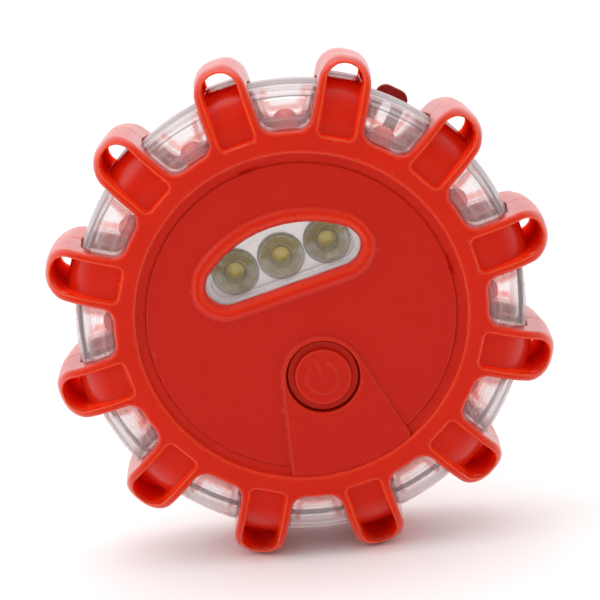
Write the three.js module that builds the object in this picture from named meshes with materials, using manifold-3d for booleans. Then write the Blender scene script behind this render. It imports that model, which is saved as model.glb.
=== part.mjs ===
// LED road safety flare: a rubber-bumpered disc that stands on two of its
// twelve lobes. Millimetres, +Z up, front face towards -Y, origin on the
// floor under the middle of the disc.
//
// Every piece is drawn in the disc's own frame: x to the right, y towards the
// power window, z out of the front face, zero at the seam between the two
// halves. The last lines turn that frame upright.

import * as THREE from 'three';
import { mergeVertices } from 'three/addons/utils/BufferGeometryUtils.js';
import Module from 'manifold-3d';

const wasm = await Module();
wasm.setup();

// ---------------------------------------------------------------- dimensions

const GAP = 0.3;                 // clearance between neighbouring pieces
const HALF_DEPTH = 15.2;         // seam to the crest of the rubber ring
const LOBES = 12;
const LOBE_RADIUS = 52;          // disc centre to lobe tip
const LOBE_HALF_WIDTH = 5.2;
const LOBE_TIP_ROUND = 4;
const LOBE_ROOT_ROUND = 2.4;
const NOTCH_RADIUS = 37.2;       // bottom of the notches between lobes
const POCKET_HALF_WIDTH = 3.6;
const POCKET_INNER = 36.4;
const POCKET_OUTER = 50.6;
const STRAP_RADIUS = 47.2;       // rubber strap over the clear ring

const RING_RADIUS = 46.1;        // clear housing, at the seam
const RING_SHOULDER = 8.8;
const DRAFT = 0.1;               // each half narrows by this much per millimetre
const RIM_ROUND = 3;             // between the drafted wall and the face
const DRUM_RADIUS = 34.5;
const DRUM_FACE = 12.1;
const WALL = 1.6;
const BOSS_FACE_FRONT = 13.4;    // clear window bosses standing in the notches
const BOSS_FACE_REAR = 12.3;

const PANEL_RADIUS = 30.9;
const PANEL_FACE = 13.9;
const PANEL_GROOVE_OUTER = 32.8;
const PAD_FACE = 14.8;

const WINDOW = { bottom: 7, halfLength: 16.1, arc: 23.9, arcCentre: -5 };
const LENS_Y = 12;
const LENS_PITCH = 9.7;
const LENS_RADIUS = 4.6;
const LENS_FRONT = 8.6;
const HOLDER_FRONT = 10.1;

const BUTTON_Y = -12.8;
const BUTTON_WELL = 7.4;
const BUTTON_TRAVEL = 0.8;

const BOARD_RADIUS = 31.4;
const BOARD_REAR = 2.2;
const BOARD_FRONT = 3.8;
const LED_AXIS_Z = 3;
const LED_ROOT = 32;

const CELL_RADIUS = 5.15;        // AAA cell
const CELL_LENGTH = 44.5;
const CELL_PITCH = 10.6;
const CELL_AXIS_Z = -6.1;
const TRAY = { x: 26.4, y: 17.4, wall: 1.2, floorFront: 0.5, mouth: -11.9 };

const DOOR_RADIUS = 30.4;
const DOOR_INNER = -13.4;
const MAGNET_RADIUS = 10;
const MAGNET_DEPTH = 2.5;
const DOOR_SCREW_Y = -25;
const CASE_SCREW = { x: 18, y: 20.9 };

const HOOK_ANGLE = 45;           // direction the hook points, from +x
const HOOK_PIVOT = 16.5;
const HOOK_PIVOT_Z = -14.25;
const HOOK_TIP = 46.8;

// Lobes at 15 degrees either side of straight down carry the flare; the foot
// is the facet of each tip's corner that then lies level.
const TURN = 15;
const rad = THREE.MathUtils.degToRad;
const STAND_HEIGHT = (LOBE_RADIUS - LOBE_TIP_ROUND) * Math.cos(rad(TURN))
  + (LOBE_HALF_WIDTH - LOBE_TIP_ROUND) * Math.sin(rad(TURN))
  + LOBE_TIP_ROUND * Math.cos(rad(TURN));

// ------------------------------------------------------------------ materials

const material = (color, roughness, metalness = 0, opacity = 1) =>
  new THREE.MeshStandardMaterial({ color, roughness, metalness, opacity, transparent: opacity < 1 });

const looks = {
  rubber: () => material(0xd42a10, 0.42),
  panelRubber: () => material(0xc12312, 0.45),
  clear: () => material(0xf1e6ea, 0.08, 0, 0.35),
  lampLens: () => material(0xe24a3e, 0.12, 0, 0.8),
  white: () => material(0xf2f1ec, 0.4),
  phosphor: () => material(0xc2b45a, 0.5),
  board: () => material(0xe9ebe4, 0.5),
  black: () => material(0x161616, 0.5),
  redPlastic: () => material(0xb81f14, 0.5),
  steel: () => material(0xb9bcc0, 0.3, 1),
  magnet: () => material(0xc6c8cc, 0.22, 1),
  wrap: () => material(0x2b3b7a, 0.35, 0.2),
  seal: () => material(0xe8d4d4, 0.5),
};

// -------------------------------------------------------------------- helpers

function toSolid(geometry) {
  const bare = geometry.clone();
  for (const name of Object.keys(bare.attributes)) if (name !== 'position') bare.deleteAttribute(name);
  const merged = mergeVertices(bare, 1e-4);
  const index = merged.index.array;
  const triangles = [];
  for (let i = 0; i < index.length; i += 3) {
    const [a, b, c] = [index[i], index[i + 1], index[i + 2]];
    if (a !== b && b !== c && c !== a) triangles.push(a, b, c);
  }
  return new wasm.Manifold(new wasm.Mesh({
    numProp: 3,
    vertProperties: new Float32Array(merged.attributes.position.array),
    triVerts: new Uint32Array(triangles),
  }));
}

function toGeometry(solid) {
  const mesh = solid.getMesh();
  const geometry = new THREE.BufferGeometry();
  geometry.setAttribute('position', new THREE.BufferAttribute(new Float32Array(mesh.vertProperties), 3));
  geometry.setIndex(new THREE.BufferAttribute(new Uint32Array(mesh.triVerts), 1));
  geometry.computeVertexNormals();
  return geometry;
}

const join = (...solids) => solids.reduce((a, b) => a.add(b));
const cut = (solid, ...tools) => tools.reduce((a, b) => a.subtract(b), solid);

// Closed outline whose corners [x, y, radius] are rounded in equal steps.
function outline(corners, steps = 3) {
  const points = [];
  corners.forEach(([x, y, radius = 0], i) => {
    const corner = new THREE.Vector2(x, y);
    if (radius === 0) { points.push(corner); return; }
    const [px, py] = corners[(i + corners.length - 1) % corners.length];
    const [nx, ny] = corners[(i + 1) % corners.length];
    const back = new THREE.Vector2(px - x, py - y).normalize();
    const ahead = new THREE.Vector2(nx - x, ny - y).normalize();
    const half = Math.acos(THREE.MathUtils.clamp(back.dot(ahead), -1, 1)) / 2;
    const centre = back.clone().add(ahead).normalize().multiplyScalar(radius / Math.sin(half)).add(corner);
    const reach = radius / Math.tan(half);
    const start = back.multiplyScalar(reach).add(corner).sub(centre);
    const end = ahead.multiplyScalar(reach).add(corner).sub(centre);
    const from = start.angle();
    let sweep = end.angle() - from;
    if (sweep > Math.PI) sweep -= 2 * Math.PI;
    if (sweep < -Math.PI) sweep += 2 * Math.PI;
    for (let s = 0; s <= steps; s++) {
      const angle = from + sweep * s / steps;
      points.push(new THREE.Vector2(Math.cos(angle), Math.sin(angle)).multiplyScalar(radius).add(centre));
    }
  });
  return points;
}

// Prism of a plan outline between two depths.
function prism(points, z0, z1) {
  const shape = new THREE.Shape(points);
  const geometry = new THREE.ExtrudeGeometry(shape, { depth: z1 - z0, bevelEnabled: false });
  geometry.translate(0, 0, z0);
  return toSolid(geometry);
}

const box = (x0, x1, y0, y1, z0, z1) =>
  prism([[x0, y0], [x1, y0], [x1, y1], [x0, y1]].map((p) => new THREE.Vector2(...p)), z0, z1);

// Solid of revolution about the disc axis; the profile is [radius, z] pairs.
function turned(profile, segments = 72, x = 0, y = 0) {
  const points = profile.map(([r, z]) => new THREE.Vector2(r, z));
  const area = points.reduce((sum, p, i) => sum + p.cross(points[(i + 1) % points.length]), 0);
  if (area < 0) points.reverse();
  const before = (i) => points[(i + points.length - 1) % points.length];
  const first = points.findIndex((p, i) => p.x === 0 && before(i).x === 0);
  const ordered = first > 0 ? [...points.slice(first), ...points.slice(0, first)] : points;
  if (first < 0) ordered.push(ordered[0].clone());
  const geometry = new THREE.LatheGeometry(ordered, segments);
  geometry.rotateX(Math.PI / 2);
  geometry.translate(x, y, 0);
  return toSolid(geometry);
}

const disc = (radius, z0, z1, segments = 24, x = 0, y = 0) =>
  turned([[0, z0], [radius, z0], [radius, z1], [0, z1]], segments, x, y);

const around = (solid, degrees) => solid.rotate([0, 0, degrees]);
const toRear = (solid) => solid.rotate([0, 180, 0]);

const everyLobe = (solid, offset = 0) =>
  Array.from({ length: LOBES }, (_, k) => around(solid, 90 + offset + k * 360 / LOBES));

// --------------------------------------------------------------- plan outlines

// The twelve-lobed outline of both rubber bumpers.
function lobedOutline() {
  const corners = [];
  for (let k = 0; k < LOBES; k++) {
    const angle = rad(90 + k * 360 / LOBES);
    const place = (along, across, radius) => [
      along * Math.cos(angle) - across * Math.sin(angle),
      along * Math.sin(angle) + across * Math.cos(angle),
      radius,
    ];
    const root = Math.sqrt(NOTCH_RADIUS ** 2 - LOBE_HALF_WIDTH ** 2);
    corners.push(place(root, -LOBE_HALF_WIDTH, LOBE_ROOT_ROUND));
    corners.push(place(LOBE_RADIUS, -LOBE_HALF_WIDTH, LOBE_TIP_ROUND));
    corners.push(place(LOBE_RADIUS, LOBE_HALF_WIDTH, LOBE_TIP_ROUND));
    corners.push(place(root, LOBE_HALF_WIDTH, LOBE_ROOT_ROUND));
    const middle = angle + Math.PI / LOBES;
    corners.push([NOTCH_RADIUS * Math.cos(middle), NOTCH_RADIUS * Math.sin(middle), 0]);
  }
  return outline(corners);
}

const pocketOutline = () => outline([
  [POCKET_INNER, -POCKET_HALF_WIDTH, 1],
  [POCKET_OUTER, -POCKET_HALF_WIDTH, 3.3],
  [POCKET_OUTER, POCKET_HALF_WIDTH, 3.3],
  [POCKET_INNER, POCKET_HALF_WIDTH, 1],
], 2);

// Clear boss that fills the notch beside the lobe that lies along +x.
function bossOutline(inset, steps) {
  const side = LOBE_HALF_WIDTH + inset;
  const half = rad(180 / LOBES);
  const sidePoint = (radius, sign, round) => {
    const along = Math.sqrt(radius ** 2 - side ** 2);
    const x = along * Math.cos(half) + side * Math.sin(half);
    const y = along * Math.sin(half) - side * Math.cos(half);
    return [x, sign * y, round];
  };
  const inner = NOTCH_RADIUS + inset;
  const outer = RING_RADIUS - inset;
  return outline([
    sidePoint(inner, -1, LOBE_ROOT_ROUND - inset * 0.5),
    sidePoint(outer, -1, 1),
    [outer, 0, 0],
    sidePoint(outer, 1, 1),
    sidePoint(inner, 1, LOBE_ROOT_ROUND - inset * 0.5),
    [inner, 0, 0],
  ], steps);
}

// Orange-slice window: straight below, arched above, round ends.
function windowOutline(grow) {
  const end = WINDOW.halfLength + grow;
  const arc = WINDOW.arc + grow;
  const shoulder = WINDOW.arcCentre + Math.sqrt(arc ** 2 - end ** 2);
  const corners = [
    [-end, WINDOW.bottom - grow, 4.4 + grow],
    [end, WINDOW.bottom - grow, 4.4 + grow],
    [end, shoulder, 1 + grow * 0.5],
  ];
  const reach = Math.asin((end - 1.6) / arc);
  for (let i = 0; i <= 6; i++) {
    const angle = reach * (1 - i / 3);
    corners.push([arc * Math.sin(angle), WINDOW.arcCentre + arc * Math.cos(angle), 0]);
  }
  corners.push([-end, shoulder, 1 + grow * 0.5]);
  return outline(corners, 4);
}

// Pad around the button: a round top that widens down to the ring.
function padOutline() {
  const corners = [];
  for (let i = 0; i <= 8; i++) {
    const angle = rad(10 + i * 20);
    corners.push([8.3 * Math.cos(angle), BUTTON_Y + 8.3 * Math.sin(angle), 0]);
  }
  corners.push([-13.6, -34, 0], [13.6, -34, 0]);
  return outline(corners);
}

// --------------------------------------------------------------------- pieces

const flare = new THREE.Group();

function piece(name, solid, look) {
  const mesh = new THREE.Mesh(toGeometry(solid), look);
  mesh.name = name;
  flare.add(mesh);
}

// Outer surface of a rubber half from the seam round to the crest.
const bumperBack = [[0, GAP / 2], [53, GAP / 2], [53, 6.2], [52, 7.2], [51.2, 9.3], [50, 11.3],
  [48.3, 13.1], [46.2, 14.2], [43.5, 14.8], [40, HALF_DEPTH], [33.6, HALF_DEPTH]];

const shellRoom = () => turned([[0, -1], [RING_RADIUS + GAP, -1], [RING_RADIUS + GAP, 0],
  [RING_RADIUS + GAP - DRAFT * RING_SHOULDER, RING_SHOULDER], [RING_RADIUS - 1, RING_SHOULDER + GAP],
  [DRUM_RADIUS + GAP, RING_SHOULDER + GAP],
  [DRUM_RADIUS + GAP, DRUM_FACE + GAP], [0, DRUM_FACE + GAP]]);

// Pocket of one lobe, open to the front and through to the seam outside the
// strap, whose face runs down from the crest and over the clear ring.
const strap = turned([[0, -2], [STRAP_RADIUS, -2], [STRAP_RADIUS, 7], [46.5, 9.4], [44.9, 11.4],
  [42.6, 12.9], [39.5, 13.7], [POCKET_INNER, PANEL_FACE], [0, PANEL_FACE]]);
const pockets = everyLobe(prism(pocketOutline(), -1, 17)).map((pocket) => pocket.subtract(strap));

const lobedPrism = prism(lobedOutline(), GAP / 2, 16);

// Front bumper: ring, recessed panel, button pad and window rim in one skin.
const frontFace = turned([...bumperBack, [PANEL_GROOVE_OUTER, 14.8], [PANEL_GROOVE_OUTER, 13.4],
  [PANEL_RADIUS, 13.4], [PANEL_RADIUS, PANEL_FACE], [0, PANEL_FACE]]);
const pad = prism(padOutline(), 13, PAD_FACE).intersect(disc(33.2, 12, 16, 72));
const windowRim = prism(windowOutline(3), 13, 14.7);
const frontBumper = cut(
  join(frontFace.intersect(lobedPrism), pad, windowRim),
  shellRoom(), ...pockets,
  prism(windowOutline(0), 5, 20),
  disc(BUTTON_WELL, 5, 20, 48, 0, BUTTON_Y),
);
piece('front_bumper', frontBumper, looks.rubber());

// Rear bumper: the same ring and lobes round the battery door, with a channel
// for the folded hook.
const rearFace = turned([...bumperBack, [32.4, 14.8], [DOOR_RADIUS + 0.4, 14.8], [DOOR_RADIUS + 0.4, 1],
  [0, 1]]);
const hookChannel = around(box(12, 60, -4.5, 4.5, -20, -13.1), HOOK_ANGLE);
const rearBumper = cut(
  toRear(cut(rearFace.intersect(lobedPrism), shellRoom(), ...pockets, disc(DOOR_RADIUS + 0.4, 0, 20, 72))),
  hookChannel,
);
piece('rear_bumper', rearBumper, looks.rubber());

// Clear housing halves: ring wall, drum and the bosses that fill the notches,
// all inside a drafted wall with a round rim.
const shellProfile = [[0, DRUM_FACE - WALL], [DRUM_RADIUS - WALL, DRUM_FACE - WALL],
  [DRUM_RADIUS - WALL, RING_SHOULDER - WALL], [RING_RADIUS - WALL - 0.6, RING_SHOULDER - WALL],
  [RING_RADIUS - WALL, 4.4], [RING_RADIUS - WALL, 0.5], [RING_RADIUS + 1, 0.5],
  [RING_RADIUS + 1, RING_SHOULDER], [DRUM_RADIUS, RING_SHOULDER], [DRUM_RADIUS, DRUM_FACE], [0, DRUM_FACE]];

// Everything inside the housing's wall and rim, less an even inset.
function barrel(face, inset) {
  const start = face - RIM_ROUND;
  const wall = RING_RADIUS - DRAFT * start;
  const reach = RIM_ROUND - inset;
  const rim = Array.from({ length: 5 }, (_, i) => {
    const angle = rad(i * 22.5);
    return [wall - RIM_ROUND + reach * Math.cos(angle), start + reach * Math.sin(angle)];
  });
  return turned([[0, -1], [RING_RADIUS - inset, -1], [RING_RADIUS - inset, 0], ...rim, [0, face - inset]], 48);
}

function shell(bossFace, hollow) {
  const bosses = everyLobe(prism(bossOutline(GAP, 2), RING_SHOULDER - 1, 17), 15);
  const hollows = hollow ? everyLobe(prism(bossOutline(GAP + 1.5, 1), 5, 16), 15)
    .map((space) => space.intersect(barrel(bossFace, WALL))) : [];
  return cut(join(turned(shellProfile, 48), ...bosses).intersect(barrel(bossFace, 0)), ...hollows);
}

const corners = [[1, 1], [-1, 1], [-1, -1], [1, -1]].map(([x, y]) => [x * CASE_SCREW.x, y * CASE_SCREW.y]);

const frontShell = cut(
  join(shell(BOSS_FACE_FRONT, true), prism(windowOutline(-GAP), DRUM_FACE - 0.5, 13.3),
    ...corners.map(([x, y]) => disc(2.4, BOARD_FRONT + GAP, 11, 16, x, y))),
  ...corners.map(([x, y]) => disc(1.5, 0, 9, 12, x, y)),
  disc(BUTTON_WELL + 1, 5, 20, 32, 0, BUTTON_Y),
);
piece('front_shell', frontShell, looks.clear());

const rearShell = cut(
  join(toRear(shell(BOSS_FACE_REAR, false)),
    ...corners.map(([x, y]) => disc(3, -11, BOARD_REAR - GAP, 16, x, y)),
    disc(3, -11, -3, 16, 0, DOOR_SCREW_Y)),
  box(-TRAY.x - GAP, TRAY.x + GAP, -TRAY.y - GAP, TRAY.y + GAP, -20, 5),
  ...corners.flatMap(([x, y]) => [disc(1.5, -20, 5, 12, x, y), disc(2.5, -20, -10.2, 12, x, y)]),
  disc(1.5, -20, -4, 12, 0, DOOR_SCREW_Y),
);
piece('rear_shell', rearShell, looks.clear());

piece('seam_gasket', turned([[44.7, -0.2], [45.9, -0.2], [45.9, 0.2], [44.7, 0.2]], 48), looks.seal());

// Circuit board with the side-facing red LEDs round its edge.
piece('circuit_board', cut(disc(BOARD_RADIUS, BOARD_REAR, BOARD_FRONT, 48),
  ...corners.map(([x, y]) => disc(1.7, 0, 6, 12, x, y))), looks.board());

const redLed = turned([[0, 0], [2.9, 0], [2.9, 1], [2.5, 1], [2.5, 5.8], [2.1, 7.2], [0, 8.3]], 10)
  .rotate([0, 90, 0]).translate([LED_ROOT, 0, LED_AXIS_Z]);
for (let k = 0; k < LOBES; k++) {
  piece(`red_led_${k + 1}`, around(redLed, 75 - k * 360 / LOBES), looks.lampLens());
}

// White spotlight: three emitters, three moulded lenses and the white tub that
// holds them.
for (let k = 0; k < 3; k++) {
  const x = (k - 1) * LENS_PITCH;
  piece(`white_led_${k + 1}`,
    box(x - 1.75, x + 1.75, LENS_Y - 1.75, LENS_Y + 1.75, BOARD_FRONT + GAP, BOARD_FRONT + 1.1),
    looks.phosphor());
  piece(`spot_lens_${k + 1}`, turned([[0, 5.4], [2.3, 5.4], [4.2, 7.7], [LENS_RADIUS, 7.7],
    [LENS_RADIUS, LENS_FRONT], [2.2, LENS_FRONT], [1.9, 7.6], [0, 7.6]], 24, x, LENS_Y), looks.clear());
}
const lensSeat = [[0, 3], [2.8, 3], [2.8, 5.2], [LENS_RADIUS + 0.2, 7.5], [LENS_RADIUS + 0.2, 12], [0, 12]];
piece('lens_holder', cut(prism(windowOutline(1.6), BOARD_FRONT + GAP, HOLDER_FRONT),
  prism(windowOutline(0), LENS_FRONT - 0.5, 12),
  ...[-1, 0, 1].map((k) => turned(lensSeat, 24, k * LENS_PITCH, LENS_Y))), looks.white());

// Power button: rubber cap with a thin web, and the switch under it.
piece('power_button', turned([[0, 9], [1.7, 9], [1.7, 11.1], [8, 11.1], [8, 12.1], [7.1, 12.1], [7.1, 13.5],
  [5.6, 13.7], [5.3, 14.5], [4.4, 14.85], [0, 14.95]], 28, 0, BUTTON_Y), looks.panelRubber());
piece('switch_body', cut(box(-3, 3, BUTTON_Y - 3, BUTTON_Y + 3, BOARD_FRONT + GAP, 7.4),
  disc(1.9, 5.4, 9, 16, 0, BUTTON_Y)), looks.black());
piece('switch_plunger', disc(1.6, 5.7 + BUTTON_TRAVEL, 8.7, 16, 0, BUTTON_Y), looks.white());

// Electronics on the board beside the switch.
piece('controller_chip', box(9, 14, BUTTON_Y - 2, BUTTON_Y + 2, BOARD_FRONT + GAP, 5.6), looks.black());
piece('capacitor', disc(2, BOARD_FRONT + GAP, 8.6, 16, -12, BUTTON_Y), looks.steel());

// Battery tray with three AAA cells in series, lying side by side.
piece('battery_tray', cut(
  box(-TRAY.x, TRAY.x, -TRAY.y, TRAY.y, TRAY.mouth, TRAY.floorFront),
  box(TRAY.wall - TRAY.x, TRAY.x - TRAY.wall, TRAY.wall - TRAY.y, TRAY.y - TRAY.wall, -20,
    TRAY.floorFront - TRAY.wall),
), looks.black());

const cellSolid = turned([[0, 0], [4.6, 0], [CELL_RADIUS, 0.5], [CELL_RADIUS, 43], [4.6, 43.6], [1.9, 43.7],
  [1.9, CELL_LENGTH], [0, CELL_LENGTH]], 20).rotate([0, 90, 0]);

// A conical contact spring along +x, swept as a chain of short prisms.
function contactSpring() {
  const turns = 3;
  const steps = turns * 10;
  const points = Array.from({ length: steps + 1 }, (_, i) => {
    const t = i / steps;
    const angle = t * turns * 2 * Math.PI;
    const radius = 3.4 - 1.4 * t;
    return new THREE.Vector3(3.1 * t, radius * Math.cos(angle), radius * Math.sin(angle));
  });
  const wire = new THREE.Shape(outline([[-0.3, -0.3], [0.3, -0.3], [0.3, 0.3], [-0.3, 0.3]]));
  const path = new THREE.CatmullRomCurve3(points);
  return toSolid(new THREE.ExtrudeGeometry(wire, { steps, bevelEnabled: false, extrudePath: path }));
}
const springSolid = contactSpring();

const trayEnd = TRAY.x - TRAY.wall;
for (let k = 0; k < 3; k++) {
  const y = (k - 1) * CELL_PITCH;
  const flip = k === 1 ? -1 : 1;
  const facing = (solid) => (flip < 0 ? solid.rotate([0, 0, 180]) : solid);
  const place = (solid, x) => facing(solid).translate([flip * x, y, CELL_AXIS_Z]);
  piece(`cell_${k + 1}`, place(cellSolid, trayEnd - 1 - CELL_LENGTH), looks.wrap());
  piece(`contact_spring_${k + 1}`, place(springSolid, 1.4 - trayEnd), looks.steel());
}
const strip = (name, x, y0, y1) =>
  piece(name, box(Math.min(x, x - Math.sign(x) * 0.4), Math.max(x, x - Math.sign(x) * 0.4),
    y0, y1, CELL_AXIS_Z - 4, CELL_AXIS_Z + 4), looks.steel());
const plateX = trayEnd - GAP;
strip('contact_plate_1', plateX, -CELL_PITCH - 4, 4);
strip('contact_plate_2', plateX, CELL_PITCH - 4, CELL_PITCH + 4);
strip('contact_plate_3', -plateX, -CELL_PITCH - 4, -CELL_PITCH + 4);
strip('contact_plate_4', -plateX, -4, CELL_PITCH + 4);

// Battery door with the magnet's cup, the hook's channel and the screw seat.
const hookDirection = (solid) => around(solid, HOOK_ANGLE);
const doorPlate = turned([[0, -HALF_DEPTH], [DOOR_RADIUS, -HALF_DEPTH], [DOOR_RADIUS, -12.9], [28.2, -12.9],
  [28.2, DOOR_INNER], [0, DOOR_INNER]], 60);
const doorRibs = join(disc(MAGNET_RADIUS + 1.6, -14, -11.7, 48),
  hookDirection(box(13, 40, -6.2, 6.2, -14, -12.4)),
  disc(4.3, -14, -12.4, 20, 0, DOOR_SCREW_Y)).intersect(disc(28.1, -15, -11, 60));
const door = cut(
  join(doorPlate, doorRibs),
  disc(MAGNET_RADIUS + GAP, -20, -HALF_DEPTH + MAGNET_DEPTH + 0.4, 48),
  hookDirection(box(14.8, 60, -4, 4, -20, -13.1)),
  hookDirection(disc(1, -5.2, 5.2, 12).rotate([90, 0, 0]).translate([HOOK_PIVOT, 0, HOOK_PIVOT_Z])),
  disc(1.6, -20, 0, 16, 0, DOOR_SCREW_Y),
  disc(2.9, -20, -13.3, 20, 0, DOOR_SCREW_Y),
);
piece('battery_door', door, looks.redPlastic());
piece('door_seal', turned([[28.4, -12.65], [30.2, -12.65], [30.2, -12.3], [28.4, -12.3]], 48), looks.seal());
piece('magnet', disc(MAGNET_RADIUS, -HALF_DEPTH, -HALF_DEPTH + MAGNET_DEPTH, 36), looks.magnet());

const crossSlot = (depth, z, x, y) => join(box(x - 1.5, x + 1.5, y - 0.35, y + 0.35, z - 1, z + depth),
  box(x - 0.35, x + 0.35, y - 1.5, y + 1.5, z - 1, z + depth));
piece('door_screw', cut(
  turned([[0, -15.1], [2.2, -15.1], [2.6, -14.8], [2.6, -13.6], [1.2, -13.6], [1.2, -5.4], [0, -4.8]],
    20, 0, DOOR_SCREW_Y),
  crossSlot(0.9, -15.1, 0, DOOR_SCREW_Y)), looks.steel());
corners.forEach(([x, y], k) => piece(`case_screw_${k + 1}`, cut(
  turned([[0, -11.9], [2.2, -11.9], [2.2, -10.5], [1.2, -10.5], [1.2, 7.6], [0, 8.3]], 14, x, y),
  crossSlot(0.7, -11.9, x, y)), looks.steel()));

// Hanging hook: a flat arm with a sideways mouth near its tip and two
// trunnions at the pivot.
const hookPlan = outline([
  [HOOK_PIVOT - 0.7, -3.5], [HOOK_TIP, -3.5, 2], [HOOK_TIP, 3.5, 2.4], [38.8, 3.5, 0.8], [38.8, 1.3, 0.8],
  [43.4, 1.3, 1], [43.4, -0.9, 1], [35.6, -0.9, 1], [35.6, 3.5, 0.8], [HOOK_PIVOT - 0.7, 3.5]]);
const hook = join(
  prism(hookPlan, HOOK_PIVOT_Z - 0.8, HOOK_PIVOT_Z + 0.8),
  disc(0.7, -4.9, 4.9, 12).rotate([90, 0, 0]).translate([HOOK_PIVOT, 0, HOOK_PIVOT_Z]),
);
piece('hook', hookDirection(hook), looks.redPlastic());

// Stand the disc up: window turned a little to the left, front towards -Y.
const upright = new THREE.Group();
flare.rotation.z = rad(TURN);
upright.add(flare);
upright.rotation.x = Math.PI / 2;
upright.position.z = STAND_HEIGHT;

const part = new THREE.Group();
part.add(upright);

export default part;
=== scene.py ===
"""LED road safety flare, dressed for its picture.

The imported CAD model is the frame. Every shape is drawn in the disc's own frame, in
millimetres: x to the right, y towards the lamp window, z out of the front face, zero at
the seam. Most shapes are signed distances that are meshed with OpenVDB and then pulled
onto the exact surface, so that each fillet is round and smoothly shaded.
"""

import math

import bpy
import numpy as np
import openvdb
from mathutils import Matrix, Vector


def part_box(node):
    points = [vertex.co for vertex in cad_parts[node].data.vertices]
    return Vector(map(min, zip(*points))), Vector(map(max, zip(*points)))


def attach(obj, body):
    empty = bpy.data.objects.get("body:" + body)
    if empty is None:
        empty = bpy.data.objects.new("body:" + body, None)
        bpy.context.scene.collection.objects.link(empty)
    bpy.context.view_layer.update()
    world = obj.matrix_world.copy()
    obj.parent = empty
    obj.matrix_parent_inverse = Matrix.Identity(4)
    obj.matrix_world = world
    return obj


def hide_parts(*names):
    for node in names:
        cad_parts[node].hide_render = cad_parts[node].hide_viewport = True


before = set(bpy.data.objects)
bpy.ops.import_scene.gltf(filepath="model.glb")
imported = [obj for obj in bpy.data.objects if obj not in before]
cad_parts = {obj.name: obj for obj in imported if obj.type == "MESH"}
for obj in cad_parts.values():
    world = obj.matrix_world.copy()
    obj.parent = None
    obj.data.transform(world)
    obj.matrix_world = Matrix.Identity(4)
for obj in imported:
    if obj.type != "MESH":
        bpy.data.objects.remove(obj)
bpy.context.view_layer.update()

# ---------------------------------------------------------------- dimensions, mm

MM = 0.001
GAP = 0.3
HALF_DEPTH = 15.2
LOBE_STEP = math.radians(30)
LOBE_RADIUS, LOBE_HALF_WIDTH = 52, 5.2
LOBE_TIP_ROUND, LOBE_ROOT_ROUND = 4, 2.4
NOTCH_RADIUS = 37.2
POCKET_INNER, POCKET_OUTER, POCKET_HALF_WIDTH = 36.4, 50.6, 3.6
POCKET_END_ROUND = 3.4
STRAP_RADIUS, STRAP_FACE, STRAP_ROUND = 47.2, 13.9, 8
CROWN_RADIUS, CROWN_ROUND = 53, 11.5

RING_RADIUS, RING_SHOULDER, DRAFT, RIM_ROUND = 46.1, 8.8, 0.1, 3
DRUM_RADIUS, DRUM_FACE = 34.5, 12.1
WALL = 1.5
BOSS_FACE_FRONT, BOSS_FACE_REAR = 13.4, 12.3

PANEL_RADIUS, PANEL_FACE = 30.9, 13.9
GROOVE_RADIUS, GROOVE_FLOOR = 32.8, 13.4
PAD_FACE, RIM_FACE, RIM_LINE = 14.8, 14.7, 43.9
WINDOW_BOTTOM, WINDOW_HALF, WINDOW_ARC, WINDOW_ARC_Y = 7, 16.1, 23.9, -5
LENS_Y, LENS_PITCH, LENS_RADIUS, LENS_FOCUS = 12, 9.7, 4.6, 1.0
LENS_FRONT, LENS_RIDGE, HOLDER_FRONT, CHIP_RADIUS = 8.6, 1.9, 10.1, 1.2

BUTTON_Y, BUTTON_WELL, BUTTON_PAD = -12.8, 7.4, 8.3
BUTTON_CAP, BUTTON_FLANGE = 5.65, 8
MARK_RADIUS, MARK_STROKE = 3.2, 0.34
BOARD_RADIUS, BOARD_REAR, BOARD_FRONT = 31.4, 2.2, 3.8
BOARD_CHIPS = 26.2, 27.4
LED_AXIS_Z, LED_ROOT = 3, 32
DOOR_RADIUS, DOOR_INNER, DOOR_GROOVES = 30.4, -13.4, (27.4, 12.6)
MAGNET_RADIUS, MAGNET_DEPTH, MAGNET_SEAT = 10, 2.5, -12.3
DOOR_SCREW_Y = -25
CASE_SCREWS = [(18, 20.9), (-18, 20.9), (-18, -20.9), (18, -20.9)]
HOOK_ANGLE = math.radians(45)
HOOK_PIVOT, HOOK_PIVOT_Z, HOOK_ROOT, HOOK_TIP = 16.5, -14.25, 15.8, 46.8
HOOK_HALF_WIDTH, HOOK_THROAT = 3.5, 35.6
TRAY_X, TRAY_Y, TRAY_WALL, TRAY_FLOOR, TRAY_MOUTH = 26.4, 17.4, 1.2, 0.5, -11.9
CELL_RADIUS, CELL_LENGTH, CELL_PITCH, CELL_Z = 5.15, 44.5, 10.6, -6.1
SPRING_RADIUS, SPRING_TURNS, WIRE_RADIUS, WIRE_SIDES = 3.4, 3.4, 0.28, 10
RING_STEPS = 180

# The disc stands with its window turned 15 degrees to the left.
TURN = math.radians(15)
low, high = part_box("front_bumper")
CENTRE = Vector(((low.x + high.x) / 2, 0, (low.z + high.z) / 2))
DISC = (Matrix.Translation(CENTRE) @ Matrix.Rotation(math.pi / 2, 4, "X")
        @ Matrix.Rotation(TURN, 4, "Z") @ Matrix.Scale(MM, 4))

# ---------------------------------------------------------------- distance tools


def both(a, b, r):
    """Where both shapes are, with the edge between them rounded by r."""
    return np.minimum(-r, np.maximum(a, b)) + np.hypot(np.maximum(a + r, 0), np.maximum(b + r, 0))


def either(a, b, r):
    """Where either shape is, with the corner between them filled by r."""
    return -both(-a, -b, r)


def cut(a, tool, r):
    return both(a, -tool, r)


def slab(v, low, high):
    return np.abs(v - (low + high) / 2) - (high - low) / 2


def post(x, y, z, at, radius, z0, z1, r):
    """Upright cylinder with rounded rims."""
    return both(np.hypot(x - at[0], y - at[1]) - radius, slab(z, z0, z1), r)


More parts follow.
